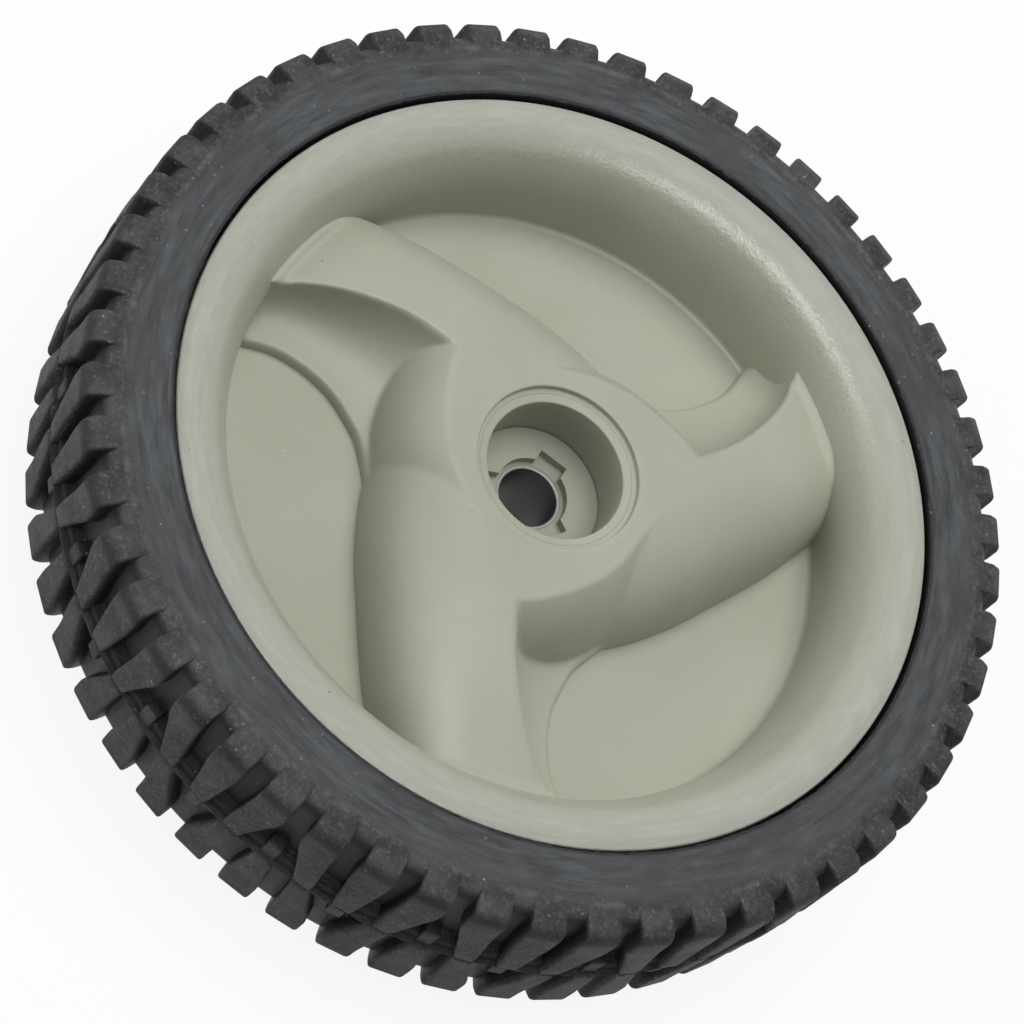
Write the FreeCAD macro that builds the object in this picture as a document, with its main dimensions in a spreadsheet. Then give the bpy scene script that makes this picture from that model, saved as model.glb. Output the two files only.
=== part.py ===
import FreeCAD, Part
import math
import os
import Sketcher

# Lawn mower wheel, lying on its back with the axle along Z and the outer face up.
# Millimetres. The origin is on the axle line, level with the back face of the tyre.

SIZES = {
    # Tyre
    "tyre_width": 45.0,
    "crown_radius": 102.3,
    "flat_radius": 102.0,
    "groove_radius": 98.0,
    "groove_start_radius": 94.5,
    "centre_rib_radius": 100.6,
    "centre_rib_width": 4.6,
    "tyre_opening_radius": 83.8,
    "lug_group_count": 18,
    "first_group_angle": 7.97,
    "lug_width": 7.3,
    "lug_tip_width": 4.2,
    "lug_lean": 2.8,
    "seam_width": 0.8,
    "nub_width": 3.4,
    "nub_length": 5.5,
    "nub_radius": 101.2,
    "seat_clearance": 0.1,
    # How far cuts run past the faces that they open
    "cut_clearance": 4.0,
    # Rim of the hub
    "lip_radius": 82.9,
    "lip_drop": 2.1,
    "channel_radius": 79.4,
    "flange_width": 3.4,
    "flange_slope": 2.5,
    "hub_back": 2.1,
    "crown_drop": 0.9,
    "roll_crown_radius": 80.0,
    "roll_height": 20.4,
    "roll_bands": 4,
    "dish_radius": 68.3,
    "rim_wall": 3.0,
    "slot_radius": 72.3,
    "slot_roof": 34.0,
    "panel_height": 18.9,
    "web_thickness": 3.0,
    # Swirl spokes: the flat top, the three-armed outline and its hollow
    "spoke_count": 3,
    "plateau_height": 40.35,
    "dome_start_radius": 30.0,
    "dome_radius": 103.0,
    "dome_bands": 2,
    "flank_overlap": 0.35,
    "flank_bands": 5,
    "scoop_bands": 3,
    "scoop_bow_in": 2.3,
    "scoop_bow_down": 1.4,
    "ledge_height": 3.0,
    "spoke_wall": 3.0,
    "core_bands": 1,
    "scoop_backing": 6.5,
    # Spoke sections, from the rim inwards: distance from the axle along the spoke,
    # then where the round flank lands, where the crest runs and where the ledge ends
    "rim_reach": 73.0,
    "rim_foot": 16.5,
    "rim_crest": -19.5,
    "rim_ledge": -27.5,
    "outer_reach": 56.0,
    "outer_foot": 23.7,
    "outer_crest": -4.7,
    "outer_ledge": -16.9,
    "middle_reach": 45.0,
    "middle_foot": 27.2,
    "middle_crest": 0.2,
    "middle_ledge": -15.1,
    "inner_reach": 33.0,
    "inner_foot": 30.4,
    "inner_crest": 2.8,
    "inner_ledge": -18.2,
    "centre_reach": 12.0,
    "centre_foot": 34.2,
    "centre_crest": 3.2,
    "centre_ledge": -16.0,
    "far_reach": -22.0,
    "far_foot": 41.0,
    "far_crest": 9.0,
    "far_ledge": -6.0,
    # Middle of the hub: bolt recess, boss and the keyed step round the bush
    "counterbore_radius": 17.96,
    "counterbore_depth": 2.0,
    "recess_radius": 15.15,
    "recess_floor": 26.0,
    "recess_floor_thickness": 3.5,
    "cup_radius": 20.5,
    "cup_drop": 1.5,
    "boss_radius": 10.8,
    "boss_back": 3.0,
    "step_radius": 8.0,
    "step_depth": 2.0,
    "notch_radius": 10.1,
    "notch_width": 6.5,
    "notch_angle": 100.0,
    # Ring gear teeth behind the web, with straight flanks
    "gear_module": 4.0,
    "gear_teeth": 32,
    "gear_pressure_angle": 20.0,
    "gear_dedendum": 1.25,
    # Gussets behind the web
    "gusset_count": 3,
    "gusset_thickness": 2.2,
    "gusset_reach": 27.0,
    "gusset_back": 8.0,
    "gusset_top": 34.0,
    # Axle bush
    "bush_bore_radius": 6.5,
    "bush_wall": 0.7,
    "bush_clearance": 0.05,
}

STATIONS = ("rim", "outer", "middle", "inner", "centre", "far")
CORE_STATIONS = ("outer", "centre", "far")
LUGS_IN_GROUP = 3


class Size:
    """A length or number, with the spreadsheet expression that gives it."""

    def __init__(self, value, text):
        self.value = value
        self.text = text

    def _join(self, other, mark, value):
        return Size(value, "(%s %s %s)" % (self.text, mark, as_size(other).text))

    def __add__(self, other):
        return self._join(other, "+", self.value + as_size(other).value)

    def __sub__(self, other):
        return self._join(other, "-", self.value - as_size(other).value)

    def __mul__(self, other):
        return self._join(other, "*", self.value * as_size(other).value)

    def __truediv__(self, other):
        return self._join(other, "/", self.value / as_size(other).value)

    def __neg__(self):
        return Size(-self.value, "(-%s)" % self.text)


def as_size(number):
    if isinstance(number, Size):
        return number
    return Size(float(number), "%r" % float(number))


def sine(angle):
    return Size(math.sin(math.radians(angle.value)), "sin(%s * 1 deg)" % angle.text)


def cosine(angle):
    return Size(math.cos(math.radians(angle.value)), "cos(%s * 1 deg)" % angle.text)


def root(number):
    return Size(math.sqrt(number.value), "sqrt(%s)" % number.text)


doc = FreeCAD.newDocument("mower_wheel")
sheet = doc.addObject("Spreadsheet::Sheet", "dims")
for row, (name, number) in enumerate(SIZES.items(), start=1):
    sheet.set("A%d" % row, name)
    sheet.set("B%d" % row, repr(number))
    sheet.setAlias("B%d" % row, name)
doc.recompute()


def size(name):
    return Size(float(getattr(sheet, name)), "dims.%s" % name)


def origin_part(body, role):
    return next(item for item in body.Origin.OriginFeatures if item.Role == role)


def new_body(label):
    body = doc.addObject("PartDesign::Body", label)
    body.Label = label
    return body


def new_sketch(body, name, role, offset=0.0, turn=0.0, turn_axis=(0, 0, 1)):
    """A sketch on one of the body's origin planes, moved along its normal and turned."""
    offset = as_size(offset)
    turn = as_size(turn)
    sketch = body.newObject("Sketcher::SketchObject", name)
    sketch.AttachmentSupport = [(origin_part(body, role), "")]
    sketch.MapMode = "FlatFace"
    turned = FreeCAD.Rotation(FreeCAD.Vector(turn_axis), turn.value)
    sketch.AttachmentOffset = FreeCAD.Placement(FreeCAD.Vector(0, 0, offset.value), turned)
    sketch.setExpression("AttachmentOffset.Base.z", offset.text)
    if turn.value:
        sketch.setExpression("AttachmentOffset.Rotation.Angle", turn.text)
    return sketch


def draw_outline(sketch, corners):
    """A closed outline of straight sides, each corner fixed from the origin."""
    spots = [(as_size(across), as_size(along)) for across, along in corners]
    points = [FreeCAD.Vector(across.value, along.value, 0) for across, along in spots]
    sides = []
    for index, start in enumerate(points):
        end = points[(index + 1) % len(points)]
        sides.append(sketch.addGeometry(Part.LineSegment(start, end)))
    for index, side in enumerate(sides):
        sketch.addConstraint(Sketcher.Constraint("Coincident", sides[index - 1], 2, side, 1))
        for kind, spot in zip(("DistanceX", "DistanceY"), spots[index]):
            rule = Sketcher.Constraint(kind, -1, 1, side, 1, spot.value)
            sketch.setExpression("Constraints[%d]" % sketch.addConstraint(rule), spot.text)


def revolve(body, name, corners, cut=False, start=0.0, sweep=360.0):
    """An outline, given as radius and height, turned about the axle."""
    sketch = new_sketch(body, name + "_section", "XZ_Plane", 0.0, start, (0, 1, 0))
    draw_outline(sketch, corners)
    feature = body.newObject("PartDesign::Groove" if cut else "PartDesign::Revolution", name)
    feature.Profile = sketch
    feature.ReferenceAxis = (origin_part(body, "Z_Axis"), [""])
    sweep = as_size(sweep)
    feature.Angle = sweep.value
    feature.setExpression("Angle", sweep.text)
    doc.recompute()
    return feature


def pad(body, name, sketch, length, midplane=False):
    feature = body.newObject("PartDesign::Pad", name)
    feature.Profile = sketch
    feature.SideType = "Symmetric" if midplane else "One side"
    feature.Length = length.value
    feature.setExpression("Length", length.text)
    doc.recompute()
    return feature


def pocket_up(body, name, sketch, depth):
    """A pocket that cuts towards +Z from its sketch."""
    feature = body.newObject("PartDesign::Pocket", name)
    feature.Profile = sketch
    feature.Reversed = True
    feature.Length = depth.value
    feature.setExpression("Length", depth.text)
    doc.recompute()
    return feature


def loft(body, name, sketches):
    """Straight-ruled skin through sketches with the same number of corners."""
    feature = body.newObject("PartDesign::AdditiveLoft", name)
    feature.Profile = sketches[0]
    feature.Sections = sketches[1:]
    feature.Ruled = True
    doc.recompute()
    return feature


def wedge(body, name, turn, low, high, cut):
    """A block between two rectangles, turned about the axle.

    low and high each give a height, the radius range and the range across, clockwise.
    """
    kind = "PartDesign::SubtractiveWedge" if cut else "PartDesign::AdditiveWedge"
    block = body.newObject(kind, name)
    block.AttachmentSupport = [(origin_part(body, "XZ_Plane"), "")]
    block.MapMode = "FlatFace"
    turned = FreeCAD.Rotation(FreeCAD.Vector(0, 1, 0), turn.value)
    block.AttachmentOffset = FreeCAD.Placement(FreeCAD.Vector(0, 0, 0), turned)
    block.setExpression("AttachmentOffset.Rotation.Angle", turn.text)
    low_names = ("Ymin", "Xmin", "Xmax", "Zmin", "Zmax")
    high_names = ("Ymax", "X2min", "X2max", "Z2min", "Z2max")
    for key, spot in list(zip(high_names, high)) + list(zip(low_names, low)):
        setattr(block, key, spot.value)
        block.setExpression(key, spot.text)
    doc.recompute()
    return block


def repeat_round(body, name, features, count):
    """Copies features round the axle, or the whole body where no feature is named."""
    pattern = body.newObject("PartDesign::PolarPattern", name)
    if features:
        pattern.Originals = features
    else:
        pattern.TransformMode = "Whole shape"
    pattern.Axis = (origin_part(body, "Z_Axis"), [""])
    pattern.Angle = 360
    pattern.Occurrences = int(count.value)
    pattern.setExpression("Occurrences", count.text)
    pattern.Refine = True
    body.Tip = pattern
    doc.recompute()
    return pattern


def combine(body, name, other, kind):
    feature = body.newObject("PartDesign::Boolean", name)
    feature.Type = kind
    feature.setObjects([other])
    doc.recompute()
    return feature


tyre_width = size("tyre_width")
tyre_middle = tyre_width / 2
lip_radius = size("lip_radius")
channel_radius = size("channel_radius")
hub_back = size("hub_back")
flange_width = size("flange_width")
flange_slope = size("flange_slope")
lip_height = tyre_width - size("lip_drop")
panel_height = size("panel_height")
web_back = panel_height - size("web_thickness")
plateau_height = size("plateau_height")
boss_back = size("boss_back")
bush_top = size("recess_floor") - size("step_depth")
bush_radius = size("bush_bore_radius") + size("bush_wall")
bush_hole_radius = bush_radius + size("bush_clearance")
cut_clearance = size("cut_clearance")
lug_turn = as_size(360) / size("lug_group_count") / LUGS_IN_GROUP


def build_tyre():
    """A solid rubber ring with a bead in the rim's channel and two rows of leaning lugs.

    One group of lugs is cut in its own share of the ring, which then repeats.
    """
    body = new_body("tyre")
    opening = size("tyre_opening_radius")
    crown = size("crown_radius")
    gap = size("seat_clearance")
    seat = channel_radius + gap
    slope = flange_slope / (lip_radius - channel_radius)
    outer_step = flange_width - slope * (opening - lip_radius) + gap
    inner_step = flange_width + flange_slope - slope * gap + gap
    corners = [
        (opening, tyre_width),
        (opening, lip_height - outer_step),
        (seat, lip_height - inner_step),
        (seat, hub_back + inner_step),
        (opening, hub_back + outer_step),
        (opening, 0),
        (crown, 0),
        (crown, tyre_width),
    ]
    lean = size("lug_lean")
    first = size("first_group_angle") - lug_turn * 2
    revolve(body, "ring_share", corners, start=first, sweep=lug_turn * LUGS_IN_GROUP)

    # Grooves in order round the tyre: before a group, then either side of its middle lug.
    # Each has its number of half steps from the start and the lean of the lugs beside it.
    between = (-lean, lean)
    before_middle = (lean, as_size(0))
    after_middle = (as_size(0), -lean)
    front = ((1, between), (3, before_middle), (5, after_middle))
    back = ((0, before_middle), (2, after_middle), (4, between), (6, before_middle))
    for row, grooves in (("front", front), ("back", back)):
        lugs = (0, 2, 4, 6) if row == "front" else (1, 3, 5)
        for half_steps in lugs:
            cut_flat(body, "%s_flat_%d" % (row, half_steps), row, first + lug_turn * half_steps / 2)
        for half_steps, leans in grooves:
            turn = first + lug_turn * half_steps / 2
            name = "%s_groove_%d" % (row, half_steps)
            cut_groove(body, name, row, turn, leans)
            if leans is between:
                build_nub(body, row + "_nub", row, turn)
    repeat_round(body, "tread", [], size("lug_group_count"))
    return body


def tread_height(row, depth):
    """The height that lies depth in from the row's own face of the tyre."""
    return tyre_width - depth if row == "front" else as_size(depth)


def cut_flat(body, name, row, turn):
    """Makes the top of one lug flat."""
    crown = size("crown_radius")
    flat = size("flat_radius")
    half = crown * sine(lug_turn / 2)
    across = (flat, crown + cut_clearance, -half, half)
    bottom = tyre_middle if row == "front" else as_size(0)
    return wedge(body, name, turn, (bottom,) + across, (bottom + tyre_middle,) + across, True)


def cut_groove(body, name, row, turn, leans):
    """The flat-floored groove between two lugs: shoulder bevel, floor and neck over the rib."""
    crown = size("crown_radius")
    floor = size("groove_radius")
    shoulder = floor - size("groove_start_radius")
    rib = size("centre_rib_radius")
    rib_depth = tyre_middle - size("centre_rib_width") / 2
    tip_depth = tyre_middle - size("seam_width") / 2
    apart = (crown + floor) / 2 * sine(lug_turn / 2)
    face_half = apart - size("lug_width") / 2
    tip_half = apart - size("lug_tip_width") / 2
    first_tip = leans[0] - tip_half
    last_tip = leans[1] + tip_half

    def rectangle(depth, radius):
        share = depth / tip_depth
        first_edge = (first_tip + face_half) * share - face_half
        last_edge = (last_tip - face_half) * share + face_half
        return (tread_height(row, depth), radius, crown + cut_clearance, -last_edge, -first_edge)

    face = as_size(0)
    stretches = (
        ("shoulder", rectangle(face, floor - shoulder), rectangle(shoulder, floor)),
        ("floor", rectangle(shoulder, floor), rectangle(rib_depth, floor)),
        ("neck", rectangle(rib_depth, rib), rectangle(tip_depth, rib)),
    )
    for stretch, near, far in stretches:
        low, high = (far, near) if row == "front" else (near, far)
        wedge(body, "%s_%s" % (name, stretch), turn, low, high, True)


def build_nub(body, name, row, turn):
    """The small block beside the middle rib, between two groups of lugs."""
    half = size("nub_width") / 2
    across = (size("groove_start_radius"), size("nub_radius"), -half, half)
    bottom = tyre_middle if row == "front" else tyre_middle - size("nub_length")
    top = bottom + size("nub_length")
    return wedge(body, name, turn, (bottom,) + across, (top,) + across, False)


def dome_drop(radius):
    """How far the spokes' top surface has fallen below the plateau at a radius."""
    if radius.value <= SIZES["dome_start_radius"]:
        return as_size(0)
    run = radius - size("dome_start_radius")
    curve = size("dome_radius")
    return curve - root(curve * curve - run * run)


def spoke_rise(station):
    """Height of a spoke's round flank above the panel, a little past the finished top."""
    top = plateau_height - dome_drop(size(station + "_reach"))
    return top - panel_height + size("flank_overlap")


def quarter_turns(count):
    """Angles that share a right angle evenly, both ends included."""
    steps = int(count.value)
    return [as_size(90) * step / steps for step in range(steps + 1)]


def spoke_section(body, station):
    """Round flank, flat top, crest, concave scoop and ledge."""
    sketch = new_sketch(body, station + "_section", "YZ_Plane", -size(station + "_reach"))
    foot = size(station + "_foot")
    crest = size(station + "_crest")
    ledge = size(station + "_ledge")
    rise = spoke_rise(station)
    top = panel_height + rise
    base = panel_height - size("web_thickness") / 2
    ledge_top = panel_height + size("ledge_height")
    corners = [(foot, base)]
    for turn in quarter_turns(size("flank_bands")):
        corners.append((foot - rise + rise * cosine(turn), panel_height + rise * sine(turn)))
    bands = int(SIZES["scoop_bands"])
    for step in range(bands + 1):
        part = step / bands
        bow = 4 * part * (1 - part)
        across = crest + (ledge - crest) * part + size("scoop_bow_in") * bow
        height = top + (ledge_top - top) * part - size("scoop_bow_down") * bow
        corners.append((across, height))
    corners.append((ledge, base))
    draw_outline(sketch, corners)
    return sketch


def core_section(body, station):
    """The hollow inside a spoke, open towards the back."""
    sketch = new_sketch(body, station + "_core_section", "YZ_Plane", -size(station + "_reach"))
    foot = size(station + "_foot")
    crest = size(station + "_crest")
    rise = spoke_rise(station)
    wall = size("spoke_wall")
    inside = rise - wall
    corners = [(foot - wall, web_back)]
    for turn in quarter_turns(size("core_bands")):
        corners.append((foot - rise + inside * cosine(turn), panel_height + inside * sine(turn)))
    corners.append((crest + size("scoop_backing"), panel_height + inside))
    corners.append((crest - wall, web_back))
    draw_outline(sketch, corners)
    return sketch


def dome_edge():
    """Radius at which the spokes end, half way into the rim's wall."""
    return size("dish_radius") + size("rim_wall") / 2


def build_spokes():
    """Three swirl arms, trimmed to the flat plateau and its fall towards the rim."""
    body = new_body("spoke_arms")
    arm = loft(body, "spoke", [spoke_section(body, station) for station in STATIONS])
    repeat_round(body, "spokes", [arm], size("spoke_count"))
    start = size("dome_start_radius")
    edge = dome_edge()
    clear = tyre_width * 2
    bands = int(SIZES["dome_bands"])
    corners = [(0, plateau_height)]
    for step in range(bands + 1):
        radius = start + (edge - start) * (step / bands)
        corners.append((radius, plateau_height - dome_drop(radius)))
    corners += [(edge, 0), (clear, 0), (clear, clear), (0, clear)]
    revolve(body, "spoke_tops", corners, cut=True)
    return body


def build_core():
    """The hollows behind the three arms, one wall's thickness inside them."""
    body = new_body("spoke_core")
    arm = loft(body, "core_arm", [core_section(body, station) for station in CORE_STATIONS])
    repeat_round(body, "core_arms", [arm], size("spoke_count"))
    edge = dome_edge()
    clear = tyre_width * 2
    top = plateau_height - size("spoke_wall")
    corners = [
        (0, top),
        (size("dome_start_radius"), top),
        (edge, top - dome_drop(edge)),
        (edge, clear),
        (0, clear),
    ]
    revolve(body, "core_tops", corners, cut=True)
    return body


def build_hub():
    """The plastic moulding: rim, dished web, swirl spokes, bolt recess and ring gear."""
    spokes = build_spokes()
    core = build_core()
    body = new_body("wheel_hub")
    build_rim(body)
    build_slot(body)
    build_gear(body)
    combine(body, "spokes_on_web", spokes, "Fuse")
    combine(body, "spoke_hollows", core, "Cut")
    build_middle(body)
    return body


def build_rim(body):
    """Rolled rim, channel for the tyre's bead and the flat web."""
    dish = size("dish_radius")
    crown = size("roll_crown_radius")
    roll_height = size("roll_height")
    wall_top = tyre_width - size("crown_drop") - roll_height
    corners = [
        (bush_hole_radius, web_back),
        (gear_tip_radius(), web_back),
        (gear_tip_radius(), hub_back),
        (lip_radius, hub_back),
        (lip_radius, hub_back + flange_width),
        (channel_radius, hub_back + flange_width + flange_slope),
        (channel_radius, lip_height - flange_width - flange_slope),
        (lip_radius, lip_height - flange_width),
        (lip_radius, lip_height),
    ]
    for turn in quarter_turns(size("roll_bands")):
        corners.append((crown - (crown - dish) * sine(turn), wall_top + roll_height * cosine(turn)))
    corners += [(dish, panel_height), (bush_hole_radius, panel_height)]
    revolve(body, "rim", corners)


def build_slot(body):
    """The ring-shaped hollow of the rim, open at the back."""
    wall = size("rim_wall")
    inner = size("slot_radius")
    outer = channel_radius - wall
    roof = size("slot_roof")
    corners = [
        (inner, hub_back - cut_clearance),
        (outer, hub_back - cut_clearance),
        (outer, roof),
        (inner, roof),
    ]
    revolve(body, "rim_slot", corners, cut=True)


def build_middle(body):
    """Bolt recess with its counterbore, the bush boss, gussets and the three notches."""
    floor = size("recess_floor")
    floor_back = floor - size("recess_floor_thickness")
    boss = size("boss_radius")
    cup = size("cup_radius")
    cup_top = plateau_height - size("cup_drop")
    corners = [
        (0, boss_back),
        (boss, boss_back),
        (boss, floor_back),
        (cup, floor_back),
        (cup, cup_top),
        (0, cup_top),
    ]
    revolve(body, "cup_and_boss", corners)

    reach = size("gusset_reach")
    sketch = new_sketch(body, "gusset_outline", "XZ_Plane")
    corners = [
        (bush_hole_radius, size("gusset_back")),
        (boss, size("gusset_back")),
        (reach, web_back),
        (reach, panel_height),
        (cup, size("gusset_top")),
        (bush_hole_radius, size("gusset_top")),
    ]
    draw_outline(sketch, corners)
    gusset = pad(body, "gusset", sketch, size("gusset_thickness"), midplane=True)
    repeat_round(body, "gussets", [gusset], size("gusset_count"))

    counterbore = size("counterbore_radius")
    counterbore_floor = plateau_height - size("counterbore_depth")
    recess = size("recess_radius")
    step = size("step_radius")
    above = plateau_height + cut_clearance
    below = boss_back - cut_clearance
    corners = [
        (0, below),
        (bush_hole_radius, below),
        (bush_hole_radius, bush_top),
        (step, bush_top),
        (step, floor),
        (recess, floor),
        (recess, counterbore_floor),
        (counterbore, counterbore_floor),
        (counterbore, above),
        (0, above),
    ]
    revolve(body, "bolt_recess", corners, cut=True)

    sketch = new_sketch(body, "notch_outline", "XY_Plane", bush_top, size("notch_angle"))
    half = size("notch_width") / 2
    outer = size("notch_radius")
    inner = size("bush_bore_radius")
    draw_outline(sketch, [(inner, -half), (outer, -half), (outer, half), (inner, half)])
    notch = pocket_up(body, "notch", sketch, size("step_depth"))
    repeat_round(body, "notches", [notch], size("spoke_count"))


def gear_pitch_radius():
    return size("gear_module") * size("gear_teeth") / 2


def gear_tip_radius():
    return gear_pitch_radius() - size("gear_module")


def build_gear(body):
    """Tooth spaces of the internal ring gear, cut from the back up to the web."""
    module = size("gear_module")
    lean = sine(size("gear_pressure_angle")) / cosine(size("gear_pressure_angle"))
    dedendum = module * size("gear_dedendum")
    pitch_half = module * (math.pi / 4)
    inner_half = pitch_half + module * 2 * lean
    outer_half = pitch_half - dedendum * lean
    inner = gear_pitch_radius() - module * 2
    outer = gear_pitch_radius() + dedendum
    sketch = new_sketch(body, "tooth_space_outline", "XY_Plane")
    corners = [
        (inner, -inner_half),
        (outer, -outer_half),
        (outer, outer_half),
        (inner, inner_half),
    ]
    draw_outline(sketch, corners)
    space = pocket_up(body, "tooth_space", sketch, web_back)
    repeat_round(body, "ring_gear", [space], size("gear_teeth"))


def build_bush():
    """The plain sleeve that the axle bolt runs in."""
    body = new_body("axle_bush")
    bore = size("bush_bore_radius")
    corners = [
        (bore, boss_back),
        (bush_radius, boss_back),
        (bush_radius, bush_top),
        (bore, bush_top),
    ]
    revolve(body, "sleeve", corners)
    return body


def check(objects):
    for item in doc.Objects:
        if "Invalid" in item.State or "Error" in item.State:
            raise RuntimeError("%s did not build: %s" % (item.Label, item.State))
    for item in objects:
        if item.Shape.isNull() or not item.Shape.isValid():
            raise RuntimeError("%s has no valid solid" % item.Label)


parts = [build_tyre(), build_hub(), build_bush()]
doc.recompute()
check(parts)
os.makedirs("parts", exist_ok=True)
for part in parts:
    part.Shape.exportStep(os.path.join("parts", part.Label + ".step"))
    print(part.Label, len(part.Shape.Solids), round(part.Shape.Volume), part.Shape.BoundBox)
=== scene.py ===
import math

import bpy
from bpy.props import FloatProperty, FloatVectorProperty, IntProperty, PointerProperty
from mathutils import Color, Matrix, Vector
from mathutils.bvhtree import BVHTree


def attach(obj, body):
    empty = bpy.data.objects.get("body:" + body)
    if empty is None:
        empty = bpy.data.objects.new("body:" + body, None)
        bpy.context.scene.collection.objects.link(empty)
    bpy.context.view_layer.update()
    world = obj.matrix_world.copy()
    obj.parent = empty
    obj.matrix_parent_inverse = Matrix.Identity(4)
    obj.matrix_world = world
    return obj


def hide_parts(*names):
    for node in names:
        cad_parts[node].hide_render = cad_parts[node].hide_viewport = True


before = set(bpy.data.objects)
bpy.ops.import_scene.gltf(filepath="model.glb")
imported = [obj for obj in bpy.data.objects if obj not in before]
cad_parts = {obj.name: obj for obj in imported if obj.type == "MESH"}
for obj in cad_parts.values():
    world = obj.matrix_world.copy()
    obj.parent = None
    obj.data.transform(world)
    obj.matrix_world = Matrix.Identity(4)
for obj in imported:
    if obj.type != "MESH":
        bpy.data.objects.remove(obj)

bl_info = {
    "name": "Lawn mower wheel",
    "version": (1, 0, 0),
    "blender": (4, 5, 0),
    "location": "View3D > Sidebar > Wheel",
    "description": "Builds the finished look of a small mower wheel round its CAD frame",
    "category": "Object",
}

MM = 0.001
# Points nearer than this become one point.
WELD = MM * 0.002
SPOKES = 3
# How far the spokes and the middle reach down past the dish floor.
SINK = 1.2 * MM
# Metres of drawn-out texture for each radian round the axle.
SMEAR_TURN = 0.012


def length(label, text, default):
    return FloatProperty(name=label, description=text, default=default * MM, unit="LENGTH", precision=5)


def shade(label, text, default):
    return FloatVectorProperty(
        name=label, description=text, default=default, subtype="COLOR", min=0.0, max=1.0
    )


class WheelTyreSizes(bpy.types.PropertyGroup):
    """Sizes of the rubber tyre."""

    width: length("Width", "Tyre width along the axle", 45.0)
    opening: length("Opening radius", "Inner edge of the sidewall", 83.8)
    groove_start: length("Groove start", "Radius where the tread grooves leave the sidewall", 94.5)
    groove: length("Groove radius", "Radius of the groove floors", 98.0)
    rib: length("Rib radius", "Radius of the middle rib", 100.6)
    rib_width: length("Rib width", "Width of the middle rib", 4.6)
    shoulder: length("Shoulder radius", "Radius of the lugs at the shoulder", 101.6)
    crown: length("Crown radius", "Radius of the lugs at the middle", 102.2)
    lug_width: length("Lug width", "Width of a lug at the shoulder", 7.3)
    lug_tip: length("Lug tip", "Width of a lug at the middle", 4.2)
    lug_lean: length("Lug lean", "How far an outer lug leans to the middle one of its group", 2.8)
    groups: IntProperty(name="Groups", description="Groups of three lugs in a row", default=18)
    phase: FloatProperty(
        name="Phase",
        description="Angle of the first group",
        default=math.radians(7.97),
        subtype="ANGLE",
    )


class WheelHubSizes(bpy.types.PropertyGroup):
    """Sizes of the moulded hub and its bush."""

    lip: length("Lip radius", "Outside of the rim's lip", 82.9)
    lip_round: length("Lip round", "Round of the lip's edge", 0.5)
    crown: length("Crown radius", "Radius of the rim's highest line", 80.0)
    crown_height: length("Crown height", "Height of the rim's highest line", 44.1)
    roll: length("Roll radius", "Curve of the rim from its lip over the crown to the wall", 9.3)
    dish: length("Dish radius", "Upright wall of the dish", 68.3)
    panel: length("Panel height", "Height of the dish floor", 18.9)
    plateau: length("Plateau height", "Height of the flat middle", 40.35)
    dome_start: length("Dome start", "Radius where the plateau starts to fall", 30.0)
    dome: length("Dome radius", "Curve of the plateau's fall", 103.0)
    counterbore: length("Counterbore radius", "Shallow step round the bolt recess", 17.96)
    counterbore_depth: length("Counterbore depth", "Depth of the shallow step at its wall", 1.3)
    recess: length("Recess radius", "Wall of the bolt recess", 15.15)
    recess_floor: length("Recess floor", "Height of the recess floor", 26.0)
    step: length("Step radius", "Edge of the step round the bush", 8.0)
    bush: length("Bush radius", "Outside of the bush", 7.2)
    bore: length("Bore radius", "Inside of the bush", 6.5)
    bush_top: length("Bush top", "Height of the bush's outer end", 24.0)
    corner: length("Corner round", "Round where the spokes run into the rim", 1.6)
    crest_round: length("Crest round", "Round of the spokes' crest", 1.5)
    scoop_in: length("Scoop bow", "How far the scoop bows in", 3.0)
    scoop_down: length("Scoop sag", "How far the scoop sags", 1.9)
    ledge: length("Ledge height", "Height of the ledge below the scoop", 3.0)
    ledge_round: length("Ledge round", "Round of the ledge's edge", 2.0)
    drum_flare: length("Drum flare", "How far the middle widens from its top to the panel", 10.0)
    drum_curve: length("Drum curve", "Curve of the middle's side", 28.0)
    voxel: length("Skin size", "Grain of the moulded spoke skin", 0.5)


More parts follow.
